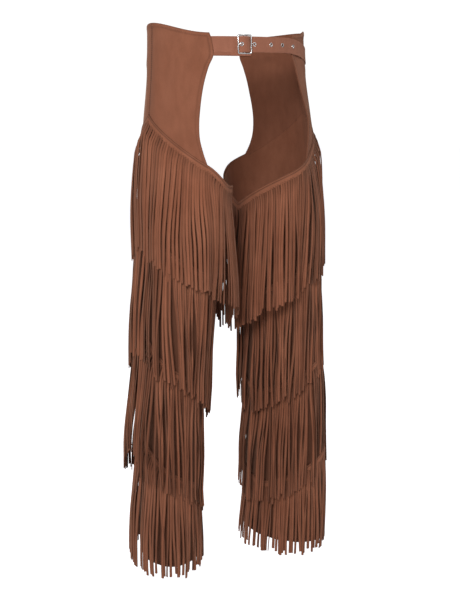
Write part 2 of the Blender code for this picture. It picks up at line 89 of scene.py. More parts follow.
TIER_COUNT = 4
BAND_HEIGHT = 0.0115       # uncut top of a fringe strip
BAND_STITCH = 0.0040       # its stitch line, below the strip's top edge
BAND_COLUMNS = 91
BAND_STOPS = (0.0, 0.0004, 0.0018, 0.0031, 0.0040, 0.0049, 0.0065, 0.0090, 0.0112, 0.0121)
BAND_PROUD = 0.0002
BAND_ROUNDING, BAND_ROUNDING_SPAN = 0.0005, 0.0006
BAND_GROOVE = Dent(0.0005, 0.0009)
BAND_SWELL, BAND_SWELL_START, BAND_SWELL_SPAN = 0.0006, 0.005, 0.006
BAND_EDGE_SHADE = Dent(0.55, 0.0012)
BAND_STITCH_SHADE = Dent(0.40, 0.0010)

STRAND_WIDTH = 0.0050
STRAND_PITCH = 0.0042
STRAND_THICKNESS = 0.0010
STRAND_HOLLOW = 0.0006     # bow of a strand's section
STRAND_OVERLAP = 0.0016    # of a strand's top with the band's bottom edge
STRAND_SHARES = np.concatenate(([0.0, 0.02, 0.045, 0.08], np.linspace(0.13, 1.0, 13)))
TIP_SPREAD = 0.0032        # how unevenly the tips are cut
LONG_TIP, LONG_TIP_SHARE = 0.009, 0.06
# How much the strands of each tier turn and bunch, how dark the painted shade is on their edges
# and backs, how unlike each other their colours are and how far they stand out just below their
# header, for each leg.
TierLook = namedtuple("TierLook", "unrest edge_tone tone_spread quick_lift")
TIER_LOOKS = {
    RIGHT: (TierLook(0.45, 0.78, 0.08, 0.0066), TierLook(1.05, 0.50, 0.17, 0.0015),
            TierLook(1.15, 0.46, 0.16, 0.0085), TierLook(0.90, 0.62, 0.10, 0.0040)),
    LEFT: (TierLook(0.85, 0.50, 0.14, 0.0080), TierLook(1.15, 0.41, 0.17, 0.0),
           TierLook(1.20, 0.44, 0.16, 0.0), TierLook(0.90, 0.62, 0.10, 0.0)),
}
TIP_LIFT = 0.0105          # how far the tips stand off the leg form
TIP_RISE = 0.16            # fall over which a tier reaches that lift
QUICK_FALL = 0.024         # fall over which the strands gain their first lift
QUICK_LOSS = 0.8           # share of it that they lose again further down
OUTER_TURN, OUTER_SPAN = 100.0, 70.0   # that lift fades towards the inseam
PLUMB_FREEDOM = 0.006      # how much further a strand may hang off a tapering leg
PLUMB_FALL, FREEDOM_FALL = 0.02, 0.10
THIGH_START, THIGH_SPAN = 88.0, 24.0   # turns past which the first tier hangs plumb
THIGH_FALL = 0.05
THIGH_LIFT, THIGH_LIFT_FALL = 0.012, 0.2
# Each tier swings a little to the right and back: the gain on that side and on the other.
Swing = namedtuple("Swing", "near far")
SWING_TOWARDS = (-0.84, 0.54)
SWING_SHARPNESS, SWING_FALL = 1.6, 0.20
SWING = {
    RIGHT: (Swing(-0.005, 0.0), Swing(0.006, -0.001),
            Swing(0.016, -0.009), Swing(0.009, -0.008)),
    LEFT: (Swing(0.0, -0.002), Swing(0.0, -0.009), Swing(0.001, -0.0095), Swing(0.003, -0.009)),
}
HOOK_REACH = 0.0045        # sideways start of a strand, square to its header
HOOK_FALL = 0.010
HOOK_SLOPE_LIMIT = 1.2

# Waves along a header by which the strands gather into bunches: how far they move a
# strand, their spacing and how they wind further down.
Wave = namedtuple("Wave", "reach spacing winding")
BUNCHES = (Wave(0.0026, 0.037, 5.0), Wave(0.0017, 0.019, -9.0), Wave(0.0012, 0.0118, 14.0))
BULGE = Wave(0.0016, 0.043, 0.0)       # the same in and out
LEAN = Wave(14.0, 0.026, 0.0)          # and as a twist, in degrees
BUNCH_START, BUNCH_SPAN = 0.012, 0.12
DRIFT, DRIFT_FALL = 0.0011, 0.15       # each strand's own way to the side
CURL = 0.0016                          # and that of its tip
LAYER_SPREAD, LAYER_STEP = 0.0030, 0.0006   # strands lie over and under each other
LAYER_START, LAYER_SPAN = 0.002, 0.04
TWIST, TWIST_FALL = 16.0, 0.05         # degrees
WANDER, WANDER_FALL = 22.0, 0.06
TWIST_LIMIT = 72.0

BELT_WIDTH = 0.0255
BELT_HEIGHT = 0.001
BELT_DROOP = 0.020
BELT_DROOP_START, BELT_DROOP_SPAN = 22.0, 60.0
BELT_TIP_ROUNDING = 0.010
BELT_TIP_BLUNTNESS = 0.0009
BELT_BOW = 0.0003          # hollow of its section
BUCKLE_BEARING = -11.4
# Columns of a strap's grid, from its lower edge (-1) to its upper edge (1).
STRAP_ACROSS = np.array([-1.0, -0.985, -0.94, -0.88, -0.6, -0.3, 0.0, 0.3, 0.6, 0.88, 0.94,
                         0.985, 1.0])
STRAP_EDGE, STRAP_EDGE_SPAN = 0.93, 0.07
STRAP_EDGE_THINNING, STRAP_EDGE_SHADE = 0.45, 0.35

FRAME_WIRE = 0.0013
FRAME_HALF_LENGTH = 0.0120
FRAME_CORNER = 0.0028
FRAME_LIFT = 0.0062
BAR_WIRE = 0.0010
BAR_LIFT = 0.0039
FOLD_RADIUS = 0.0019
FOLD_START, FOLD_ANGLE, FOLD_STEPS = 75.0, 210.0, 16
PRONG_WIRE = 0.0008
PRONG_LOOP = 0.0021
PRONG_LOOP_START, PRONG_LOOP_STEP, PRONG_LOOP_POINTS = -150.0, 9.0, 28
PRONG_SLOT = 0.0036        # slot for the prong in the folded strap: its width
PRONG_SLOT_END = 0.0058    # and how far along the belt it reaches

EYELET_HOLE = 0.0025
EYELET_BARREL = 0.0022
EYELET_BORE = 0.0020
EYELET_FLANGE = 0.0034
EYELET_DOME = 0.0006
EYELETS = (-0.0057, 0.0193, 0.0529, 0.0802, 0.1105)

STITCH_LENGTH = 0.0026
STITCH_GAP = 0.0009
STITCH_RADIUS = 0.00032
STITCH_SIDES = 6

# ---------- colours and stage
Suede = namedtuple("Suede", "name dark light")
YOKE_SUEDE = Suede("yoke_suede", (0.250, 0.090, 0.049), (0.285, 0.107, 0.060))
FRINGE_SUEDE = Suede("fringe_suede", (0.265, 0.095, 0.051), (0.320, 0.122, 0.068))
STRAP_SUEDE = Suede("strap_suede", (0.400, 0.156, 0.096), (0.445, 0.178, 0.112))
THREAD_DARK, THREAD_LIGHT = (0.055, 0.020, 0.012), (0.13, 0.05, 0.03)
STEEL_DARK, STEEL_LIGHT = (0.72, 0.71, 0.70), (0.86, 0.86, 0.87)
BLOTCH_SCALE, STREAK_SCALE, GRAIN_SCALE = 16.0, 90.0, 1400.0
TWIST_SCALE, WEAR_SCALE = 2200.0, 420.0
CLOTH_SHARP, STEEL_SHARP = 48.0, 50.0  # degrees past which an edge is shaded sharp

CAMERA_AZIMUTH = -33.0
CAMERA_DISTANCE = 1.72
CAMERA_HEIGHT = -0.054
CAMERA_PITCH = 13.5
CAMERA_ASIDE = 0.003
CAMERA_LENS = 55.7325      # mm, on the sensor below
CAMERA_SENSOR = 36.0

Light = namedtuple("Light", "name place size power")
LIGHTS = (
    Light("key", (-1.45, -1.45, 0.85), 0.9, 38.0),
    Light("fill", (1.2, -1.9, 0.9), 1.4, 9.0),
    Light("back", (0.6, 1.6, 1.0), 1.4, 16.0),
)
LIGHT_TARGET = (0.0, 0.0, -0.4)
WORLD_STRENGTH = 0.26
WORLD_SEEN = 1.05          # how bright the empty studio looks behind the object
FLOOR_GLOW = 0.82          # the same for the floor
FLOOR_HEIGHT = -1.09
FLOOR_RADIUS = 14.0

# ---------- worn form
INSEAM_CLEARANCE = 0.013
INSEAM_SOFTNESS = 0.012
TURN_STEP, HEIGHT_STEP = 1.0, 0.004    # steps by which slopes on the form are measured
HipSection = namedtuple("HipSection", "height sway half_width front_depth back_depth")
HIP = (
    HipSection(0.045, -0.001, 0.1485, 0.092, 0.098),
    HipSection(0.000, -0.001, 0.1490, 0.094, 0.099),
    HipSection(-0.055, 0.000, 0.1525, 0.098, 0.105),
    HipSection(-0.125, 0.003, 0.1620, 0.103, 0.113),
    HipSection(-0.195, 0.004, 0.1705, 0.106, 0.118),
    HipSection(-0.295, 0.003, 0.1785, 0.106, 0.117),
    HipSection(-0.400, 0.002, 0.1820, 0.106, 0.118),
)
LegSection = namedtuple("LegSection", "height centre half_width half_depth turned_out")
LEG = (
    LegSection(0.045, 0.085, 0.070, 0.095, 0.0),
    LegSection(-0.125, 0.085, 0.080, 0.105, 0.0),
    LegSection(-0.295, 0.098, 0.074, 0.098, 4.0),
    LegSection(-0.445, 0.110, 0.064, 0.088, 10.0),
    LegSection(-0.615, 0.119, 0.056, 0.082, 18.0),
    LegSection(-0.795, 0.121, 0.055, 0.084, 22.0),
    LegSection(-0.935, 0.121, 0.056, 0.085, 24.0),
)
CROTCH_START, CROTCH_SPAN = -0.17, 0.16
INNER_LEAD = 0.14
INNER_START, INNER_SPAN = 60.0, 80.0
Stance = namedtuple("Stance", "stride drop")
STANCE = {RIGHT: Stance(0.020, 0.0), LEFT: Stance(-0.020, 0.011)}
STRIDE_START, STRIDE_SPAN = -0.25, 0.65
DROP_START, DROP_SPAN = -0.20, 0.20

# ---------- cutting lines
Slant = namedtuple("Slant", "at_side at_front at_inseam")
HEADERS = (
    Slant(-0.112, -0.201, -0.271),
    Slant(-0.288, -0.375, -0.442),
    Slant(-0.472, -0.572, -0.625),
    Slant(-0.660, -0.765, -0.812),
)
TIPS = (
    Slant(-0.338, -0.418, -0.500),
    Slant(-0.515, -0.608, -0.670),
    Slant(-0.700, -0.803, -0.856),
    Slant(-0.932, -0.942, -0.950),
)
Dip = namedtuple("Dip", "turn spread depth")
HEADER_DIP = {RIGHT: Dip(107.0, 24.0, 0.012), LEFT: Dip(107.0, 24.0, 0.0)}
OpenEdge = namedtuple("OpenEdge", "share front_right front_left back")
OPEN_EDGE = (
    OpenEdge(0.00, 90.0, 94.0, 91.0),
    OpenEdge(0.04, 92.0, 95.5, 93.0),
    OpenEdge(0.15, 93.5, 95.5, 93.0),
    OpenEdge(0.24, 87.5, 89.5, 88.0),
    OpenEdge(0.35, 81.8, 83.0, 83.0),
    OpenEdge(0.46, 77.5, 76.5, 79.5),
    OpenEdge(0.58, 74.3, 70.0, 76.5),
    OpenEdge(0.70, 72.5, 65.0, 75.0),
    OpenEdge(0.82, 73.3, 65.5, 76.0),
    OpenEdge(0.92, 78.0, 72.5, 80.0),
    OpenEdge(1.00, 83.5, 82.0, 86.0),
)

# Routes of the straps and the prong: distance along the belt from the buckle's bar and
# lift of the strap's middle off the worn form.
StrapStop = namedtuple("StrapStop", "along lift")


def route(*stops):
    return [StrapStop(*stop) for stop in stops]


BELT_ROUTE = route(
    (-0.076, -0.0016), (-0.056, -0.0014), (-0.046, 0.0004), (-0.034, 0.0012),
    (-0.022, 0.0018), (-0.015, 0.0020), (-0.012, 0.0026), (-0.0095, 0.0050),
    (-0.0070, 0.0070), (-0.0035, 0.0078), (0.0000, 0.0080), (0.0035, 0.0076),
    (0.0070, 0.0062), (0.0100, 0.0042), (0.0130, 0.0034), (0.022, 0.0033),
    (0.053, 0.0034), (0.068, 0.0033), (0.084, 0.0029), (0.098, 0.0026), (0.2336, 0.0026))
BUCKLE_STRAP_OUTER = route(
    (0.125, -0.0016), (0.101, -0.0014), (0.091, 0.0004), (0.078, 0.0012), (0.062, 0.0016),
    (0.030, 0.0016), (0.016, 0.0016), (0.0115, 0.0018), (0.0080, 0.0028), (0.0045, 0.0046))
BUCKLE_STRAP_INNER = route(
    (0.0045, 0.0013), (0.0080, 0.0005), (0.0120, 0.0001), (0.0250, 0.0001))
PRONG_ROUTE = route(
    (-0.0022, 0.0055), (-0.0040, 0.0056), (-0.0049, 0.0064), (-0.0058, 0.0080),
    (-0.0068, 0.0095), (-0.0080, 0.0101), (-0.0098, 0.0100), (-0.0120, 0.0089),
    (-0.0136, 0.0087))
# The back strap's route, from its right end inside a yoke to the middle of the back.
BackStop = namedtuple("BackStop", "bearing lift")
BACK_STRAP_ROUTE = (
    BackStop(138.0, -0.0012),
    BackStop(149.5, -0.0011),
    BackStop(155.0, 0.0004),
    BackStop(160.0, 0.0006),
    BackStop(180.0, 0.0006),
)

# Soft troughs and ridges pressed into a yoke, placed on its own face: turn and
# height of the middle, half lengths along and across, slant and depth.
Crease = namedtuple("Crease", "turn height reach width slant depth")
CREASES = {
    "front_right": (
        Crease(72.0, -0.010, 0.030, 0.0060, 8.0, 0.0016),
        Crease(60.0, -0.022, 0.024, 0.0070, -14.0, -0.0012),
        Crease(44.0, 0.006, 0.020, 0.0055, 62.0, 0.0010),
        Crease(30.0, -0.060, 0.046, 0.0110, 78.0, 0.0018),
        Crease(12.0, -0.075, 0.050, 0.0120, 96.0, -0.0016),
        Crease(64.0, -0.120, 0.040, 0.0120, 34.0, 0.0014),
    ),
    "front_left": (
        Crease(74.0, -0.014, 0.028, 0.0060, -10.0, 0.0016),
        Crease(58.0, -0.030, 0.026, 0.0075, 24.0, -0.0013),
        Crease(36.0, 0.004, 0.022, 0.0060, 66.0, 0.0012),
        Crease(24.0, -0.070, 0.044, 0.0110, 84.0, 0.0018),
        Crease(55.0, -0.130, 0.036, 0.0120, 38.0, -0.0014),
    ),
    "back_right": (
        Crease(70.0, -0.012, 0.030, 0.0065, 12.0, 0.0016),
        Crease(50.0, -0.034, 0.030, 0.0080, -20.0, -0.0014),
        Crease(28.0, -0.080, 0.048, 0.0120, 82.0, 0.0018),
        Crease(58.0, -0.110, 0.038, 0.0110, 40.0, 0.0014),
    ),
    "back_left": (
        Crease(68.0, -0.016, 0.028, 0.0060, -8.0, 0.0016),
        Crease(46.0, -0.026, 0.030, 0.0080, 26.0, -0.0013),
        Crease(22.0, -0.068, 0.050, 0.0120, 76.0, 0.0018),
        Crease(60.0, -0.118, 0.036, 0.0110, 30.0, 0.0014),
    ),
}

# Cut sizes of the flat pieces: width, length and area.
Cut = namedtuple("Cut", "width length area")


# ---------- numbers
def smooth(value):
    value = np.clip(value, 0.0, 1.0)
    return value * value * (3.0 - 2.0 * value)


def curve_through(keys, rows, at):
    """Rows on a smooth curve through the given rows, at an array of keys."""
    last = len(rows) - 1
    before = np.maximum(np.arange(last + 1) - 1, 0)
    after = np.minimum(np.arange(last + 1) + 1, last)
    slopes = (rows[after] - rows[before]) / (keys[after] - keys[before])[:, None]
    at = np.clip(at, keys[0], keys[-1])
    low = np.clip(np.searchsorted(keys, at, "right") - 1, 0, last - 1)
    span = (keys[low + 1] - keys[low])[..., None]
    t = (at - keys[low])[..., None] / span
    return (rows[low] * (2 * t ** 3 - 3 * t ** 2 + 1)
            + rows[low + 1] * (3 * t ** 2 - 2 * t ** 3)
            + slopes[low] * span * (t ** 3 - 2 * t ** 2 + t)
            + slopes[low + 1] * span * (t ** 3 - t ** 2))


def read_rows(table, at):
    """The table's columns at an array of values of its first column."""
    rows = np.array(sorted(table))
    columns = np.moveaxis(curve_through(rows[:, 0], rows, at), -1, 0)
    return type(table[0])(*columns)


def fine_route(stops, steps):
    """Distances along and lifts on a smooth curve through a route's stops."""
    keys = np.arange(len(stops), dtype=float)
    fine = np.linspace(0.0, keys[-1], steps * (len(stops) - 1) + 1)
    return np.moveaxis(curve_through(keys, np.array(stops), fine), -1, 0)


def dent(shape, distance):
    return shape.depth * np.exp(-(distance / shape.width) ** 2)


def wave(shape, place, phase, fall):
    turns = 2 * math.pi * place / shape.spacing
    return shape.reach * np.sin(turns + phase + shape.winding * fall)


def unit(vectors):
    return vectors / np.linalg.norm(vectors, axis=-1, keepdims=True)


def form_points(side, turn, height):
    """Points of the wearer's form. turn runs from the side seam (0) over the front
    (90) to the inseam (180), and is negative over the back."""
    turn, height = np.broadcast_arrays(np.asarray(turn, float), np.asarray(height, float))
    hip, leg = read_rows(HIP, height), read_rows(LEG, height)
    angle = np.radians(turn)
    dx, dy = np.cos(angle), -np.sin(angle)
    depth = np.where(dy < 0, hip.front_depth, hip.back_depth)
    a = (dx / hip.half_width) ** 2 + (dy / depth) ** 2
    b = 2 * leg.centre * dx / hip.half_width ** 2
    c = (leg.centre / hip.half_width) ** 2 - 1
    hip_reach = (-b + np.sqrt(np.maximum(b * b - 4 * a * c, 0.0))) / (2 * a)

    out = np.radians(leg.turned_out)
    across = dx * np.cos(out) + dy * np.sin(out)
    along = dy * np.cos(out) - dx * np.sin(out)
    leg_reach = 1.0 / np.hypot(across / leg.half_width, along / leg.half_depth)

    lead = INNER_LEAD * smooth((np.abs(turn) - INNER_START) / INNER_SPAN)
    legness = smooth((CROTCH_START - height + lead) / CROTCH_SPAN)
    reach = hip_reach * (1.0 - legness) + leg_reach * legness
    spare = leg.centre + reach * dx - INSEAM_CLEARANCE
    outward = INSEAM_CLEARANCE + 0.5 * (spare + np.hypot(spare, INSEAM_SOFTNESS))

    stance = STANCE[side]
    stride = stance.stride * smooth((STRIDE_START - height) / STRIDE_SPAN)
    drop = stance.drop * smooth((DROP_START - height) / DROP_SPAN)
    x = side * outward + hip.sway * (1.0 - legness)
    return np.stack((x, reach * dy + stride, height - drop), axis=-1)


def form_frame(side, turn, height):
    """Point, outward normal, unit tangent towards larger turn, and metres per degree."""
    point = form_points(side, turn, height)
    along = (form_points(side, turn + TURN_STEP, height)
             - form_points(side, turn - TURN_STEP, height))
    up = (form_points(side, turn, height + HEIGHT_STEP)
          - form_points(side, turn, height - HEIGHT_STEP))
    normal = unit(np.cross(along, up)) * -side
    speed = np.linalg.norm(along, axis=-1) / (2 * TURN_STEP)
    return point, normal, unit(along), speed


def waist_points(bearing, height):
    """Points round the waist. A bearing is 0 at the front and grows to the left."""
    hip = read_rows(HIP, height)
    depth = np.where(np.abs(bearing) <= 90.0, hip.front_depth, hip.back_depth)
    angle = np.radians(bearing)
    x = hip.half_width * np.sin(angle) + hip.sway
    return np.stack((x, -depth * np.cos(angle), height + 0.0 * bearing), axis=-1)


def waist_lifted(bearing, height, lift):
    bearing, height, lift = np.broadcast_arrays(bearing, height, lift)
    along = (waist_points(bearing + TURN_STEP / 2, height)
             - waist_points(bearing - TURN_STEP / 2, height))
    up = (waist_points(bearing, height + HEIGHT_STEP)
          - waist_points(bearing, height - HEIGHT_STEP))
    return waist_points(bearing, height) + unit(np.cross(along, up)) * lift[..., None]


def slant_height(slant, turn):
    """Height of a slanting line at a turn, on the parabola through its three heights."""
    share = np.abs(turn) / 180.0
    bend = 2.0 * (slant.at_side + slant.at_inseam - 2.0 * slant.at_front)
    fall = slant.at_inseam - slant.at_side
    return slant.at_side + (fall - bend) * share + bend * share * share


def half_turns(face, count):
    """Turns from seam to seam round the front or the back of a leg."""
    return face * np.linspace(SEAM_TURN, 180.0 - SEAM_TURN, count)


def header_height(tier, side, turn):
    height = slant_height(HEADERS[tier], turn)
    if tier == 0:
        dip = HEADER_DIP[side]
        height = height - dip.depth * smooth(1.0 - np.abs(turn - dip.turn) / dip.spread)
    return height


# ---------- materials
def new_material(name):
    material = bpy.data.materials.new(name)
    material.use_nodes = True
    return material, material.node_tree, material.node_tree.nodes["Principled BSDF"]


def noise_node(tree, coords, scale, detail, stretch=None):
    noise = tree.nodes.new("ShaderNodeTexNoise")
    noise.inputs["Scale"].default_value = scale
    noise.inputs["Detail"].default_value = detail
    if stretch is not None:
        mapping = tree.nodes.new("ShaderNodeMapping")
        mapping.inputs["Scale"].default_value = stretch
        tree.links.new(coords, mapping.inputs["Vector"])
        coords = mapping.outputs["Vector"]
    tree.links.new(coords, noise.inputs["Vector"])
    return noise.outputs["Fac"]


def ramp_node(tree, factor, low, high, start=0.3, end=0.7):
    ramp = tree.nodes.new("ShaderNodeValToRGB")
    ramp.color_ramp.elements[0].position = start
    ramp.color_ramp.elements[1].position = end
    ramp.color_ramp.elements[0].color = (*low, 1.0)
    ramp.color_ramp.elements[1].color = (*high, 1.0)
    tree.links.new(factor, ramp.inputs["Fac"])
    return ramp.outputs["Color"]


def mix_node(tree, blend, factor, first, second):
    mix = tree.nodes.new("ShaderNodeMix")
    mix.data_type = "RGBA"
    mix.blend_type = blend
    mix.inputs["Factor"].default_value = factor
    tree.links.new(first, mix.inputs["A"])
    tree.links.new(second, mix.inputs["B"])
    return mix.outputs["Result"]


def suede_material(suede):
    """Napped suede: blotches, brushed streaks and a fine grain, with a soft sheen. The colour
    attribute named tone multiplies in painted shade along the edges, the seams and the lines of
    stitches, over the panels and on the strands, together with each strand's own tone."""
    material, tree, shader = new_material(suede.name)
    coords = tree.nodes.new("ShaderNodeTexCoord").outputs["Object"]
    blotch_noise = noise_node(tree, coords, BLOTCH_SCALE, 4.0)
    blotches = ramp_node(tree, blotch_noise, suede.dark, suede.light, 0.32, 0.68)
    streak_noise = noise_node(tree, coords, STREAK_SCALE, 3.0, (1.0, 1.0, 0.35))
    streaks = ramp_node(tree, streak_noise, (0.88, 0.87, 0.86), (1.0, 1.0, 1.0), 0.35, 0.6)
    colour = mix_node(tree, "MULTIPLY", 0.75, blotches, streaks)
    grain_noise = noise_node(tree, coords, GRAIN_SCALE, 2.0)
    grain = ramp_node(tree, grain_noise, (0.80, 0.79, 0.78), (1.0, 1.0, 1.0), 0.35, 0.62)
    colour = mix_node(tree, "MULTIPLY", 0.6, colour, grain)
    tone = tree.nodes.new("ShaderNodeAttribute")
    tone.attribute_name = "tone"
    colour = mix_node(tree, "MULTIPLY", 1.0, colour, tone.outputs["Color"])
    tree.links.new(colour, shader.inputs["Base Color"])
    shader.inputs["Roughness"].default_value = 0.92
    shader.inputs["Specular IOR Level"].default_value = 0.18
    shader.inputs["Sheen Weight"].default_value = 0.22
    shader.inputs["Sheen Roughness"].default_value = 0.5
    shader.inputs["Sheen Tint"].default_value = (0.95, 0.62, 0.45, 1.0)
    bump = tree.nodes.new("ShaderNodeBump")
    bump.inputs["Strength"].default_value = 0.35
    bump.inputs["Distance"].default_value = 0.0004
    tree.links.new(grain_noise, bump.inputs["Height"])
    tree.links.new(bump.outputs["Normal"], shader.inputs["Normal"])
    return material


def thread_material():
    material, tree, shader = new_material("thread")
    coords = tree.nodes.new("ShaderNodeTexCoord").outputs["Object"]
    twist = noise_node(tree, coords, TWIST_SCALE, 1.0)
    colour = ramp_node(tree, twist, THREAD_DARK, THREAD_LIGHT)
    tree.links.new(colour, shader.inputs["Base Color"])
    shader.inputs["Roughness"].default_value = 0.6
    return material


def steel_material():
    """Polished nickel plate with faint rubbing marks."""
    material, tree, shader = new_material("polished_steel")
    coords = tree.nodes.new("ShaderNodeTexCoord").outputs["Object"]
    wear = noise_node(tree, coords, WEAR_SCALE, 3.0)
    tree.links.new(ramp_node(tree, wear, STEEL_DARK, STEEL_LIGHT), shader.inputs["Base Color"])
    roughness = tree.nodes.new("ShaderNodeMapRange")
    roughness.inputs["To Min"].default_value = 0.14
    roughness.inputs["To Max"].default_value = 0.30
    tree.links.new(wear, roughness.inputs["Value"])
    tree.links.new(roughness.outputs["Result"], shader.inputs["Roughness"])
    shader.inputs["Metallic"].default_value = 1.0
    return material


# ---------- meshes
def finish_piece(name, mesh, material, sharp):
    """The object of a finished mesh, which rides on the garment's one body."""
    mesh.materials.clear()
    mesh.materials.append(material)
    mesh.shade_smooth()
    mesh.set_sharp_from_angle(angle=math.radians(sharp))
    piece = bpy.data.objects.new(name, mesh)
    bpy.context.scene.collection.objects.link(piece)
    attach(piece, "root")
    return piece


def add_piece(name, verts, faces, material, tones=None):
    mesh = bpy.data.meshes.new(name)
    mesh.from_pydata([tuple(v) for v in verts], [], faces)
    mesh.update()
    if tones is not None:
        layer = mesh.color_attributes.new("tone", "FLOAT_COLOR", "POINT")
        values = np.ones((len(verts), 4))
        values[:, :3] = tones
        layer.data.foreach_set("color", values.ravel())
    return finish_piece(name, mesh, material, CLOTH_SHARP)


def shell_faces(rows, columns, flip, opening=()):
    """Faces of a closed wall: an outer and an inner grid, joined round every rim.
    The cells of opening are left out of both."""
    def index(layer, row, column):
        return (layer * rows + row) * columns + column

    cells = {(row, column) for row in range(rows - 1) for column in range(columns - 1)}
    cells -= set(opening)
    beyond = ((-1, 0), (0, 1), (1, 0), (0, -1))
    faces = []
    for row, column in sorted(cells):
        corners = ((row, column), (row, column + 1), (row + 1, column + 1), (row + 1, column))
        faces.append([index(0, *corner) for corner in corners])
        faces.append([index(1, *corner) for corner in corners[::-1]])
        for k, (down, along) in enumerate(beyond):
            if (row + down, column + along) not in cells:
                start, end = corners[k], corners[(k + 1) % 4]
                faces.append([index(0, *end), index(0, *start),
                              index(1, *start), index(1, *end)])
    if flip:
        faces = [face[::-1] for face in faces]
    return faces


def shell_piece(name, outer, inner, tone, material, flip, opening=()):
    """A wall of leather between two grids of points. tone is its outer face's."""
    verts = np.concatenate((outer.reshape(-1, 3), inner.reshape(-1, 3)))
    flat = np.broadcast_to(tone, outer.shape[:2]).reshape(-1, 1)
    tones = np.concatenate((flat, np.full(flat.shape, INNER_TONE)))
    faces = shell_faces(*outer.shape[:2], flip, opening)
    return add_piece(name, verts, faces, material, tones)


def tube_faces(base, rings, sides):
    """Faces of a closed tube whose rings of vertices start at a base index."""
    faces = []
    for ring in range(rings - 1):
        here, below = base + ring * sides, base + (ring + 1) * sides
        for k in range(sides):
            following = (k + 1) % sides
            faces.append([here + k, below + k, below + following, here + following])
    last = base + (rings - 1) * sides
    faces.append([base + k for k in range(sides)])
    faces.append([last + k for k in range(sides - 1, -1, -1)])
    return faces


def grid_normals(points):
    """Unit normals of a grid of points, from its rows and columns."""
    return unit(np.cross(np.gradient(points, axis=1), np.gradient(points, axis=0)))


# ---------- yokes
def hem_stops(length, count):
    """Distances from an edge, close together over the hem and even beyond it."""
    return np.concatenate((HEM_STOPS, np.linspace(BEYOND_HEM, length, count)))


def crease_depth(creases, face, turn, height, speed):
    total = np.zeros_like(turn)
    for crease in creases:
        across = (turn * face - crease.turn) * speed
        up = height - crease.height
        slant = math.radians(crease.slant)
        along = across * math.cos(slant) + up * math.sin(slant)
        beside = -across * math.sin(slant) + up * math.cos(slant)
        spread = -(along / crease.reach) ** 2 - (beside / crease.width) ** 2
        total += crease.depth * np.exp(spread)
    return total


def yoke_top(side, turn):
    edge = YOKE_TOPS[side]
    top = YOKE_CORNER + edge.rise * (1.0 - smooth(np.abs(turn) / 90.0))
    return top + edge.peak * np.clip(1.0 - np.abs(turn - PEAK_TURN) / PEAK_SPAN, 0.0, 1.0)


def yoke_grid(half):
    """Turns and heights of a yoke's grid, and at each node the metres in a degree and
    the distances to the open edge and to the top edge."""
    side, face = half.side, half.face
    column = "back" if face == BACK else half.name
    shares = hem_stops(YOKE_GRID_DEPTH, YOKE_ROWS) / YOKE_GRID_DEPTH
    edge = getattr(read_rows(OPEN_EDGE, shares), column)[:, None]
    from_edge = hem_stops(YOKE_GRID_WIDTH, YOKE_COLUMNS) / YOKE_GRID_WIDTH
    turn = face * (SEAM_TURN + (1.0 - from_edge) * (edge - SEAM_TURN))
    top = yoke_top(side, turn)
    bottom = header_height(0, side, turn) - YOKE_UNDERLAP
    height = top + (bottom - top) * shares[:, None]
    speed = form_frame(side, turn, height)[3]
    return turn, height, speed, (edge - np.abs(turn)) * speed, top - height


def hem_relief(distance):
    """Doubled leather that ends just past its stitch line, which pulls it in."""
    step = HEM_STEP * smooth((HEM_END - distance) / HEM_END_SPAN)
    rounding = HEM_ROUNDING * smooth(1.0 - distance / HEM_ROUNDING_SPAN)
    return step - rounding - dent(HEM_GROOVE, distance - HEM_GROOVE_AT)


def make_yoke(half, suede):
    side, face = half.side, half.face
    turn, height, speed, edge_distance, top_distance = yoke_grid(half)
    point, normal, _, _ = form_frame(side, turn, height)
    creases = CREASES[half.name]
    depth = crease_depth(creases, face, turn, height, speed)
    nearest = np.minimum(edge_distance, top_distance)
    seam_distance = np.abs(turn) * speed
    lift = WALL + hem_relief(nearest) - dent(SEAM_GROOVE, seam_distance)
    outer = point + normal * (lift - depth)[..., None]
    inner = point - normal * depth[..., None]
    tone = 1.0 - dent(HEM_EDGE_SHADE, nearest) - dent(SEAM_SHADE, seam_distance)
    tone -= dent(HEM_STITCH_SHADE, nearest - HEM_GROOVE_AT)
    name = "yoke_leather_" + half.name
    yoke = shell_piece(name, outer, inner, tone, suede, side * face > 0)
    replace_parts(yoke, "yoke_" + half.name)


# ---------- panels
def make_leg_panel(half, suede):
    side, face = half.side, half.face
    turn = half_turns(face, PANEL_COLUMNS)[None, :]
    share = np.linspace(0.0, 1.0, PANEL_ROWS)[:, None]
    top = header_height(0, side, turn) - YOKE_UNDERLAP - SEAM_GAP
    height = top + (HEM_HEIGHT - HEM_LENGTHENING - top) * share
    turn, height = np.broadcast_arrays(turn, height)
    point, normal, _, _ = form_frame(side, turn, height)
    ripple = RIPPLE * np.sin(np.radians(turn * RIPPLE_TURNS) + height * RIPPLE_RISE)
    lift = ripple * smooth(share * 3.0) - PANEL_INSET
    outer = point + normal * (lift + WALL)[..., None]
    inner = point + normal * lift[..., None]
    name = "leg_leather_" + half.name
    panel = shell_piece(name, outer, inner, PANEL_PAINTED_SHADE, suede, side * face < 0)
    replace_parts(panel, "leg_panel_" + half.name)


# ---------- fringe
def band_surface(tier, side, turn, below):
    """Point and normal of the form behind a strip, a distance below its top edge."""
    point, normal, _, _ = form_frame(side, turn, header_height(tier, side, turn) - below)
    return point, normal


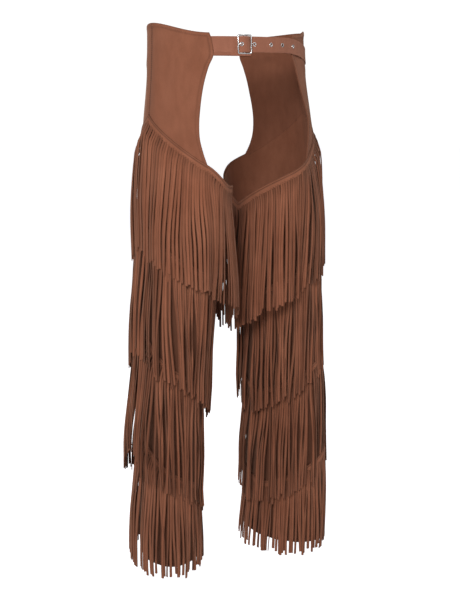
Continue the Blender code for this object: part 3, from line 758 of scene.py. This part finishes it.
def make_band(tier, side, face):
    """The uncut top of a fringe strip, drawn in along its stitches."""
    turn, below = np.broadcast_arrays(half_turns(face, BAND_COLUMNS)[None, :],
                                      np.array(BAND_STOPS)[:, None])
    point, normal = band_surface(tier, side, turn, below)
    lift = STRIP_LIFT + BAND_PROUD - BAND_ROUNDING * smooth(1.0 - below / BAND_ROUNDING_SPAN)
    lift = lift - dent(BAND_GROOVE, below - BAND_STITCH)
    lift = lift + BAND_SWELL * smooth((below - BAND_SWELL_START) / BAND_SWELL_SPAN)
    outer = point + normal * lift[..., None]
    inner = outer - normal * WALL * 0.9
    tone = 1.0 - dent(BAND_EDGE_SHADE, below) - dent(BAND_STITCH_SHADE, below - BAND_STITCH)
    verts = np.concatenate((outer.reshape(-1, 3), inner.reshape(-1, 3)))
    return verts, shell_faces(*turn.shape, side * face < 0), np.tile(tone.reshape(-1, 1), (2, 3))


def strand_turns(tier, side, face, rng):
    """Turns at which the strands leave their header, evenly spaced round the leg, and
    their distances along it."""
    turn = np.linspace(0.4, 179.6, 600)
    height = header_height(tier, side, turn * face) - BAND_HEIGHT
    speed = form_frame(side, turn * face, height)[3]
    steps = 0.5 * (speed[1:] + speed[:-1]) * np.diff(turn)
    length = np.concatenate(([0.0], np.cumsum(steps)))
    count = int(round(length[-1] / STRAND_PITCH))
    place = (np.arange(count) + 0.5) * length[-1] / count
    place += rng.uniform(-0.12, 0.12, count) * STRAND_PITCH
    return np.interp(place, length, turn) * face, place


def strand_tips(tier, turn, rng):
    tip = slant_height(TIPS[tier], turn) + rng.normal(0.0, TIP_SPREAD, turn.shape)
    return tip - np.where(rng.random(turn.shape) < LONG_TIP_SHARE, LONG_TIP, 0.0)


Chances = namedtuple("Chances", "phase drift curl layer twist wander period offset")


def draw_chances(rng, count):
    """The phases that a tier's waves share, and what differs from strand to strand."""
    each = (count, 1)
    return Chances(
        phase=rng.uniform(0.0, 2 * math.pi, 6),
        drift=rng.normal(0.0, DRIFT, each),
        curl=rng.normal(0.0, CURL, each),
        layer=rng.uniform(-0.5, 0.5, each),
        twist=rng.normal(0.0, TWIST, each),
        wander=rng.normal(0.0, WANDER, each),
        period=rng.uniform(0.10, 0.30, each),
        offset=rng.uniform(0.0, 2 * math.pi, each),
    )


def strand_drift(chances, place, fall):
    """How far the strands bunch, drift and curl to the side."""
    bunch = sum(wave(shape, place, phase, fall) for shape, phase in zip(BUNCHES, chances.phase))
    drift = chances.drift * smooth(fall / DRIFT_FALL)
    curl = chances.curl * smooth(fall / fall.max()) ** 2
    return bunch * smooth((fall - BUNCH_START) / BUNCH_SPAN) + drift + curl


def strand_lift(tier, side, turn, normal, hang, fall):
    """How far the strands stand off the form as they fall past the leg and swing."""
    swing, risen = SWING[side][tier], smooth(fall / TIP_RISE)
    lift = STRIP_LIFT + (TIP_LIFT - STRIP_LIFT) * risen
    lift = lift + np.clip(hang, 0.0, PLUMB_FREEDOM) * smooth(fall / FREEDOM_FALL)
    quick = TIER_LOOKS[side][tier].quick_lift * smooth((OUTER_TURN - np.abs(turn)) / OUTER_SPAN)
    lift = lift + quick * smooth(fall / QUICK_FALL) * (1.0 - QUICK_LOSS * risen)
    towards = normal[..., 0] * SWING_TOWARDS[0] + normal[..., 1] * SWING_TOWARDS[1]
    towards = SWING_SHARPNESS * towards
    gain = swing.near * smooth(towards) + swing.far * smooth(-towards)
    return lift + gain * smooth(fall / SWING_FALL)


def strand_twist(unrest, chances, place, fall):
    """Radians by which the strands turn about their own length."""
    steady = chances.twist + wave(LEAN, place, chances.phase[4], fall)
    wander = chances.wander * np.sin(2 * math.pi * fall / chances.period + chances.offset)
    twist = steady * smooth(fall / TWIST_FALL) + wander * smooth(fall / WANDER_FALL)
    return np.radians(np.clip(unrest * twist, -TWIST_LIMIT, TWIST_LIMIT))


def strand_routes(tier, side, face, rng):
    """Centre lines of a tier's strands, with the directions across and out of each."""
    start_turn, place = strand_turns(tier, side, face, rng)
    count = len(start_turn)
    top = header_height(tier, side, start_turn) - BAND_HEIGHT + STRAND_OVERLAP
    tip = strand_tips(tier, start_turn, rng)
    chances = draw_chances(rng, count)
    place, unrest = place[:, None], TIER_LOOKS[side][tier].unrest
    height = top[:, None] + (tip - top)[:, None] * STRAND_SHARES
    fall = top[:, None] - height

    start = form_points(side, start_turn, top)[:, None, :]
    turn = np.repeat(start_turn[:, None], STRAND_SHARES.size, axis=1)
    point, _, tangent, speed = form_frame(side, turn, height)
    plumb = np.sum((start - point) * tangent, axis=-1) * smooth(fall / PLUMB_FALL)
    rise = np.gradient(header_height(tier, side, start_turn), start_turn)
    slope = rise / form_frame(side, start_turn, top)[3]
    slope = np.clip(slope, -HOOK_SLOPE_LIMIT, HOOK_SLOPE_LIMIT)
    hook = HOOK_REACH * slope[:, None] * (1.0 - np.exp(-fall / HOOK_FALL))
    aside = hook + unrest * strand_drift(chances, place, fall)
    turn = turn + (plumb + aside) / speed

    point, normal, tangent, _ = form_frame(side, turn, height)
    hang = np.sum((start - point) * normal, axis=-1)
    over = np.where(np.arange(count) % 2, LAYER_STEP, -LAYER_STEP)[:, None]
    layer = chances.layer * LAYER_SPREAD + over
    lift = strand_lift(tier, side, turn, normal, hang, fall)
    lift = lift + layer * smooth((fall - LAYER_START) / LAYER_SPAN)
    bulge = wave(BULGE, place, chances.phase[3], fall)
    lift = lift + bulge * smooth((fall - BUNCH_START) / BUNCH_SPAN)
    centre = point + normal * lift[..., None]
    if tier == 0:
        free = centre[:, :1] + (aside + layer)[..., None] * tangent
        free = free + normal[:, :1] * (THIGH_LIFT * smooth(fall / THIGH_LIFT_FALL))[..., None]
        thigh = smooth((np.abs(start_turn) - THIGH_START) / THIGH_SPAN)[:, None]
        thigh = thigh * smooth(fall / THIGH_FALL)
        centre[..., :2] += thigh[..., None] * (free - centre)[..., :2]

    twist = strand_twist(unrest, chances, place, fall)[..., None]
    across = tangent * np.cos(twist) + normal * np.sin(twist)
    outward = normal * np.cos(twist) - tangent * np.sin(twist)
    return centre, across, outward, fall


def strand_tones(tier, side, fall, rng):
    """Colours round each station of each strand: painted shade on the cut edges and the back, a
    slight painted highlight along the middle of the face and painted shade just below the
    header, over each strand's own tone.
    """
    look = TIER_LOOKS[side][tier]
    # each strand's own random tone, then painted shade over its first few centimetres below the
    # header
    tone_and_root_shade = rng.normal(1.0, look.tone_spread, (len(fall), 1, 1))
    tone_and_root_shade = tone_and_root_shade * (0.80 + 0.20 * smooth(fall / 0.03))[..., None]
    dark = look.edge_tone
    # painted shade on the cut edges and the back of each strand, and a slight painted highlight
    # along the middle of its face
    edge = np.array([dark, 1.05, dark, 0.7 * dark, 0.8 * dark, 0.7 * dark])
    tone = np.clip(tone_and_root_shade * edge, 0.3, 1.15).reshape(-1, 1)
    return tone * (1.0, 0.985, 0.97)


def make_strands(tier, side, face, rng):
    """Cut strips with a slight hollow, all of one tier over one face of a leg."""
    centre, across, outward, fall = strand_routes(tier, side, face, rng)
    count, stations = centre.shape[:2]
    width = STRAND_WIDTH * rng.uniform(0.84, 1.10, (count, 1, 1)) / 2
    hollow = rng.normal(STRAND_HOLLOW, 0.0004, (count, 1, 1))
    half = STRAND_THICKNESS / 2
    profile = ((-1.0, half, 0.0), (0.0, half, 1.0), (1.0, half, 0.0),
               (1.0, -half, 0.0), (0.0, -half, 1.0), (-1.0, -half, 0.0))
    ring = [centre + across * width * u + outward * (v + hollow * bow) for u, v, bow in profile]
    verts = np.stack(ring, axis=2).reshape(-1, 3)
    faces = []
    for strand in range(count):
        base = strand * stations * len(profile)
        faces += tube_faces(base, stations, len(profile))
    if side > 0:
        faces = [corners[::-1] for corners in faces]
    return verts, faces, strand_tones(tier, side, fall, rng)


def make_fringe(tier, half, suede):
    side, face = half.side, half.face
    rng = np.random.default_rng(100 * tier + 10 * (side + 1) + (face + 1))
    band_verts, band_faces, band_tones = make_band(tier, side, face)
    verts, faces, tones = make_strands(tier, side, face, rng)
    faces = band_faces + [[corner + len(band_verts) for corner in f] for f in faces]
    name = "fringe_strip_{}_{}".format(tier + 1, half.name)
    fringe = add_piece(name, np.concatenate((band_verts, verts)), faces, suede,
                       np.concatenate((band_tones, tones)))
    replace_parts(fringe, "fringe_{}_{}".format(tier + 1, half.name))


# ---------- stitches
def make_stitches(name, lines, material):
    """Runs of short raised stitches. Each line is its points and their normals."""
    rings = ((-0.5, 0.25, -0.6), (-0.32, 0.9, 0.2), (0.32, 0.9, 0.2), (0.5, 0.25, -0.6))
    verts, faces = [], []
    for points, normals in lines:
        steps = np.linalg.norm(np.diff(points, axis=0), axis=1)
        length = np.concatenate(([0.0], np.cumsum(steps)))
        pitch = STITCH_LENGTH + STITCH_GAP
        for place in np.arange(pitch / 2, length[-1] - pitch / 2, pitch):
            middle, out, beyond = (
                np.array([np.interp(at, length, rows[:, k]) for k in range(3)])
                for at, rows in ((place, points), (place, normals), (place + 0.0005, points)))
            ahead = unit(beyond - middle)
            out = unit(out - ahead * np.dot(out, ahead))
            beside = np.cross(ahead, out)
            faces += tube_faces(len(verts), len(rings), STITCH_SIDES)
            for share, size, rise in rings:
                hub = middle + ahead * share * STITCH_LENGTH + out * rise * STITCH_RADIUS
                for k in range(STITCH_SIDES):
                    angle = 2 * math.pi * k / STITCH_SIDES
                    spoke = beside * math.cos(angle) + out * math.sin(angle)
                    verts.append(hub + spoke * size * STITCH_RADIUS)
    add_piece(name, verts, faces, material)


def yoke_stitch_lines(half):
    """Along the top hem, down the open edge, and beside the side seam."""
    side, face = half.side, half.face
    turn, height, _, _, _ = yoke_grid(half)
    creases = CREASES[half.name]
    rows, columns = turn.shape
    paths = (
        [(HEM_STITCH_LINE, column) for column in range(HEM_STITCH_LINE, columns)],
        [(row, HEM_STITCH_LINE) for row in range(HEM_STITCH_LINE, rows)],
        [(row, columns - 2) for row in range(1, rows)],
    )
    lines = []
    for path in paths:
        index = tuple(np.array(path).T)
        point, normal, _, speed = form_frame(side, turn[index], height[index])
        depth = crease_depth(creases, face, turn[index], height[index], speed)
        lines.append((point + normal * (WALL + HEM_STEP * 0.55 - depth)[:, None], normal))
    return lines


def band_stitch_line(tier, half):
    side, face = half.side, half.face
    point, normal = band_surface(tier, side, half_turns(face, 200), BAND_STITCH)
    return point + normal * (STRIP_LIFT - 0.0001), normal


# ---------- straps
def bearings_at(along):
    """Bearings of points that lie a distance along the belt from the buckle."""
    waist = read_rows(HIP, np.array(0.0))
    bearing = np.linspace(-80.0, 140.0, 2201)
    angle = np.radians(bearing)
    depth = np.where(np.abs(bearing) < 90.0, waist.front_depth, waist.back_depth)
    speed = np.hypot(waist.half_width * np.cos(angle), depth * np.sin(angle))
    length = np.concatenate(([0.0], np.cumsum(0.5 * (speed[1:] + speed[:-1]) * np.diff(angle))))
    length -= np.interp(BUCKLE_BEARING, bearing, length)
    return np.interp(along, length, bearing)


def belt_points(along, across, lift):
    along, across, lift = np.broadcast_arrays(along, across, lift)
    bearing = bearings_at(along)
    droop = BELT_DROOP * smooth((bearing - BELT_DROOP_START) / BELT_DROOP_SPAN)
    return waist_lifted(bearing, BELT_HEIGHT - droop + across, lift)


def belt_frame(along):
    """Matrix at the belt: X along it, Y up across it and Z outward, on the form."""
    origin = Vector(belt_points(along, 0.0, 0.0))
    outward = (Vector(belt_points(along, 0.0, 0.01)) - origin).normalized()
    ahead = (Vector(belt_points(along + 0.001, 0.0, 0.0))
             - Vector(belt_points(along - 0.001, 0.0, 0.0)))
    across = outward.cross(ahead).normalized()
    ahead = across.cross(outward)
    return Matrix.Translation(origin) @ Matrix((ahead, across, outward)).transposed().to_4x4()


def strap_frame(along):
    """The belt's matrix, raised and tilted to the middle of the belt strap."""
    step = 0.0005
    lift, ahead = read_rows(BELT_ROUTE, np.array((along, along + step))).lift
    tilt = math.atan2(ahead - lift, step)
    return belt_frame(along) @ Matrix.Translation((0, 0, lift)) @ Matrix.Rotation(-tilt, 4, "Y")


def strap_shell(name, middle, across, material, flip=False, opening=()):
    """A strap with softly rounded edges, from a grid of its middle points. across
    runs from -1 to 1 over its columns."""
    normals = grid_normals(middle) * (-1 if flip else 1)
    edge = smooth((np.abs(across) - STRAP_EDGE) / STRAP_EDGE_SPAN)
    half = normals * (WALL / 2) * (1.0 - STRAP_EDGE_THINNING * edge)[:, None]
    tone = 1.0 - STRAP_EDGE_SHADE * edge
    return shell_piece(name, middle + half, middle - half, tone, material, flip, opening)


def drill(piece, matrix):
    """Cut an eyelet's hole out of a piece and keep the result as its mesh."""
    tool = bmesh.new()
    bmesh.ops.create_cone(tool, cap_ends=True, segments=24, radius1=EYELET_HOLE,
                          radius2=EYELET_HOLE, depth=4 * WALL)
    tool.transform(matrix)
    mesh = bpy.data.meshes.new("tool")
    tool.to_mesh(mesh)
    tool.free()
    cutter = bpy.data.objects.new("tool", mesh)
    bpy.context.scene.collection.objects.link(cutter)
    modifier = piece.modifiers.new("Cut", "BOOLEAN")
    modifier.object = cutter
    graph = bpy.context.evaluated_depsgraph_get()
    result = bpy.data.meshes.new_from_object(piece.evaluated_get(graph))
    piece.modifiers.clear()
    piece.data = result
    bpy.data.objects.remove(cutter, do_unlink=True)


def make_belt(suede):
    tip_start = BELT_ROUTE[-1].along - BELT_TIP_ROUNDING
    quarter = np.linspace(0.15, 1.0, 12) * math.pi / 2
    along = np.concatenate((np.linspace(BELT_ROUTE[0].along, tip_start, 150),
                            tip_start + 0.99 * BELT_TIP_ROUNDING * np.sin(quarter)))
    lift = read_rows(BELT_ROUTE, along).lift
    to_tip = BELT_ROUTE[-1].along - along + BELT_TIP_BLUNTNESS
    rounding = np.clip(1 - to_tip / BELT_TIP_ROUNDING, 0.0, 1.0)
    half = BELT_WIDTH / 2 * np.sqrt(1 - rounding ** 2)
    bow = BELT_BOW * STRAP_ACROSS ** 2 * smooth((along - 0.02) / 0.05)[:, None]
    middle = belt_points(along[:, None], STRAP_ACROSS * half[:, None], lift[:, None] + bow)
    belt = strap_shell("belt_leather", middle, STRAP_ACROSS, suede)
    for place in EYELETS:
        drill(belt, strap_frame(place))
    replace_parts(belt, "belt_strap")


def make_buckle_strap(suede):
    """Short strap from the left yoke, folded round the buckle's centre bar, with a
    slot in the fold for the prong."""
    angles = np.radians(FOLD_START + FOLD_ANGLE * np.arange(FOLD_STEPS + 1) / FOLD_STEPS)
    fold = route(*zip(FOLD_RADIUS * np.cos(angles), BAR_LIFT + FOLD_RADIUS * np.sin(angles)))
    along, lift = fine_route(BUCKLE_STRAP_OUTER + fold + BUCKLE_STRAP_INNER, 5)
    slot_edge = PRONG_SLOT / BELT_WIDTH
    across = np.concatenate((STRAP_ACROSS[STRAP_ACROSS != 0.0], (-slot_edge, slot_edge)))
    across = np.sort(across)
    slot_column = int(np.searchsorted(across, 0.0)) - 1
    in_slot = (along[1:] < PRONG_SLOT_END) & (along[:-1] < PRONG_SLOT_END)
    slot = [(int(row), slot_column) for row in np.nonzero(in_slot)[0]]
    middle = belt_points(along[:, None], across * BELT_WIDTH / 2, lift[:, None])
    strap = strap_shell("buckle_strap_leather", middle, across, suede, flip=True, opening=slot)
    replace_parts(strap, "buckle_strap")


def make_back_strap(suede):
    stops = list(BACK_STRAP_ROUTE)
    stops += [BackStop(360.0 - stop.bearing, stop.lift) for stop in BACK_STRAP_ROUTE[-2::-1]]
    bearing = np.linspace(stops[0].bearing, stops[-1].bearing, 90)
    lift = read_rows(stops, bearing).lift
    middle = waist_lifted(bearing[:, None], STRAP_ACROSS * BELT_WIDTH / 2, lift[:, None])
    strap = strap_shell("back_strap_leather", middle, STRAP_ACROSS, suede)
    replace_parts(strap, "back_strap")


# ---------- hardware
def wire_mesh(points, radius, cyclic):
    """Evaluated mesh of a round wire along points."""
    curve = bpy.data.curves.new("wire", "CURVE")
    curve.dimensions = "3D"
    curve.bevel_depth = radius
    curve.bevel_resolution = 4
    curve.use_fill_caps = True
    spline = curve.splines.new("POLY")
    spline.points.add(len(points) - 1)
    for slot, point in zip(spline.points, points):
        slot.co = (*point, 1.0)
    spline.use_cyclic_u = cyclic
    holder = bpy.data.objects.new("wire", curve)
    bpy.context.scene.collection.objects.link(holder)
    graph = bpy.context.evaluated_depsgraph_get()
    mesh = bpy.data.meshes.new_from_object(holder.evaluated_get(graph))
    bpy.data.objects.remove(holder, do_unlink=True)
    return mesh


def steel_piece(name, bm, node, steel):
    mesh = bpy.data.meshes.new(name)
    bm.to_mesh(mesh)
    bm.free()
    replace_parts(finish_piece(name, mesh, steel, STEEL_SHARP), node)


def make_buckle(steel):
    half_height = BELT_WIDTH / 2 + 2 * SEAM_GAP + FRAME_WIRE
    outline = []
    corners = ((1, 1, 0.0), (-1, 1, 90.0), (-1, -1, 180.0), (1, -1, 270.0))
    bow = (FRAME_LIFT - BAR_LIFT) / FRAME_HALF_LENGTH ** 2
    place = belt_frame(0.0)
    for along_sign, up_sign, start in corners:
        x = along_sign * (FRAME_HALF_LENGTH - FRAME_CORNER)
        y = up_sign * (half_height - FRAME_CORNER)
        for step in range(9):
            angle = math.radians(start + 90.0 * step / 8)
            outline.append((x + FRAME_CORNER * math.cos(angle),
                            y + FRAME_CORNER * math.sin(angle)))
        if along_sign * up_sign > 0:
            inner = np.linspace(x, -x, 12)[1:-1]
            outline += [(value, up_sign * half_height) for value in inner]
    points = [place @ Vector((x, y, BAR_LIFT + bow * x * x)) for x, y in outline]
    bm = bmesh.new()
    bm.from_mesh(wire_mesh(points, FRAME_WIRE, True))
    bar = bmesh.ops.create_cone(bm, cap_ends=True, segments=20, radius1=BAR_WIRE,
                                radius2=BAR_WIRE, depth=2 * half_height)
    matrix = place @ Matrix.Translation((0, 0, BAR_LIFT)) @ Matrix.Rotation(math.pi / 2, 4, "X")
    bmesh.ops.transform(bm, matrix=matrix, verts=bar["verts"])
    steel_piece("buckle_frame_steel", bm, "buckle_frame", steel)


def make_prong(steel):
    place = belt_frame(0.0)
    steps = np.arange(PRONG_LOOP_POINTS)
    angles = np.radians(PRONG_LOOP_START + PRONG_LOOP_STEP * steps)
    loop = list(zip(PRONG_LOOP * np.cos(angles), BAR_LIFT + PRONG_LOOP * np.sin(angles)))
    tongue = list(zip(*fine_route(PRONG_ROUTE, 4)))
    points = [place @ Vector((along, 0.0, lift)) for along, lift in loop + tongue]
    bm = bmesh.new()
    bm.from_mesh(wire_mesh(points, PRONG_WIRE, False))
    bmesh.ops.remove_doubles(bm, verts=bm.verts, dist=1e-6)
    steel_piece("buckle_prong_steel", bm, "buckle_prong", steel)


def make_eyelet(number, along, steel):
    """Turned ring with a domed flange on the belt's outer face."""
    face = WALL / 2 + SEAM_GAP / 2
    profile = [(EYELET_BORE, face)]
    for k in range(1, 8):
        angle = math.pi * k / 8
        radius = EYELET_BORE + (EYELET_FLANGE - EYELET_BORE) * (0.5 - 0.5 * math.cos(angle))
        profile.append((radius, face + EYELET_DOME * math.sin(angle) ** 0.6))
    profile += [(EYELET_FLANGE, face), (EYELET_BARREL, face), (EYELET_BARREL, -WALL / 2),
                (EYELET_BORE, -WALL / 2)]
    bm = bmesh.new()
    rings = []
    for angle in np.linspace(0.0, 2 * math.pi, 40, endpoint=False):
        rings.append([bm.verts.new((r * math.cos(angle), r * math.sin(angle), z))
                      for r, z in profile])
    for ring, following in zip(rings, rings[1:] + rings[:1]):
        for k in range(len(profile)):
            other = (k + 1) % len(profile)
            bm.faces.new((ring[k], ring[other], following[other], following[k]))
    bmesh.ops.recalc_face_normals(bm, faces=bm.faces)
    bm.transform(strap_frame(along))
    steel_piece("eyelet_steel_{}".format(number), bm, "eyelet_{}".format(number), steel)


# ---------- stage
def make_floor():
    """Pale round floor, bright to the camera as an overexposed studio floor is."""
    bm = bmesh.new()
    bmesh.ops.create_circle(bm, cap_ends=True, segments=96, radius=FLOOR_RADIUS)
    bmesh.ops.translate(bm, vec=(0.0, 0.0, FLOOR_HEIGHT), verts=bm.verts)
    mesh = bpy.data.meshes.new("floor")
    bm.to_mesh(mesh)
    bm.free()
    material, tree, shader = new_material("studio_floor")
    shader.inputs["Base Color"].default_value = (0.80, 0.80, 0.80, 1.0)
    shader.inputs["Roughness"].default_value = 0.85
    shader.inputs["Emission Color"].default_value = (0.97, 0.97, 1.0, 1.0)
    seen = tree.nodes.new("ShaderNodeLightPath").outputs["Is Camera Ray"]
    glow = tree.nodes.new("ShaderNodeMath")
    glow.operation = "MULTIPLY"
    glow.inputs[1].default_value = FLOOR_GLOW
    tree.links.new(seen, glow.inputs[0])
    tree.links.new(glow.outputs["Value"], shader.inputs["Emission Strength"])
    mesh.materials.append(material)
    floor = bpy.data.objects.new("floor", mesh)
    bpy.context.scene.collection.objects.link(floor)


def make_camera():
    azimuth, pitch = math.radians(CAMERA_AZIMUTH), math.radians(CAMERA_PITCH)
    beside = Vector((math.cos(azimuth), math.sin(azimuth), 0.0))
    ahead = Vector((-math.sin(azimuth), math.cos(azimuth), 0.0))
    data = bpy.data.cameras.new("camera")
    data.sensor_width = CAMERA_SENSOR
    data.lens = CAMERA_LENS
    camera = bpy.data.objects.new("camera", data)
    camera.location = beside * CAMERA_ASIDE - ahead * CAMERA_DISTANCE
    camera.location.z += CAMERA_HEIGHT
    direction = ahead * math.cos(pitch) - Vector((0, 0, math.sin(pitch)))
    camera.rotation_euler = direction.to_track_quat("-Z", "Y").to_euler()
    bpy.context.scene.collection.objects.link(camera)
    bpy.context.scene.camera = camera


def make_lights():
    for light in LIGHTS:
        data = bpy.data.lights.new(light.name, "AREA")
        data.shape = "DISK"
        data.size = light.size
        data.energy = light.power
        lamp = bpy.data.objects.new(light.name, data)
        lamp.location = light.place
        aim = Vector(LIGHT_TARGET) - lamp.location
        lamp.rotation_euler = aim.to_track_quat("-Z", "Y").to_euler()
        bpy.context.scene.collection.objects.link(lamp)


def make_world():
    world = bpy.data.worlds.new("studio")
    world.use_nodes = True
    tree = world.node_tree
    background = tree.nodes["Background"]
    background.inputs["Color"].default_value = (1.0, 1.0, 1.0, 1.0)
    seen = tree.nodes.new("ShaderNodeLightPath").outputs["Is Camera Ray"]
    strength = tree.nodes.new("ShaderNodeMapRange")
    strength.inputs["To Min"].default_value = WORLD_STRENGTH
    strength.inputs["To Max"].default_value = WORLD_SEEN
    tree.links.new(seen, strength.inputs["Value"])
    tree.links.new(strength.outputs["Result"], background.inputs["Strength"])
    bpy.context.scene.world = world
    bpy.context.scene.view_settings.view_transform = "Standard"


# ---------- build
def build():
    yoke_suede, fringe_suede, strap_suede = (
        suede_material(suede) for suede in (YOKE_SUEDE, FRINGE_SUEDE, STRAP_SUEDE))
    thread, steel = thread_material(), steel_material()
    for half in HALVES:
        make_yoke(half, yoke_suede)
        make_leg_panel(half, fringe_suede)
        for tier in range(TIER_COUNT):
            make_fringe(tier, half, fringe_suede)
        lines = [band_stitch_line(tier, half) for tier in range(TIER_COUNT)]
        make_stitches("fringe_stitches_" + half.name, lines, thread)
        make_stitches("yoke_stitches_" + half.name, yoke_stitch_lines(half), thread)
    make_belt(strap_suede)
    make_buckle_strap(strap_suede)
    make_back_strap(strap_suede)
    make_buckle(steel)
    make_prong(steel)
    for number, along in enumerate(EYELETS, 1):
        make_eyelet(number, along, steel)
    make_floor()
    make_camera()
    make_lights()
    make_world()


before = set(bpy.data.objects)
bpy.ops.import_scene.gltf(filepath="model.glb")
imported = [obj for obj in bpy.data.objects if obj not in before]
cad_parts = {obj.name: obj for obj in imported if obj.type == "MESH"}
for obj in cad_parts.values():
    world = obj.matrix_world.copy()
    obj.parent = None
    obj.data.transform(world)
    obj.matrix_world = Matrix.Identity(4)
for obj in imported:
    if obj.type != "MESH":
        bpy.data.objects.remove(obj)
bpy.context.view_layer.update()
build()
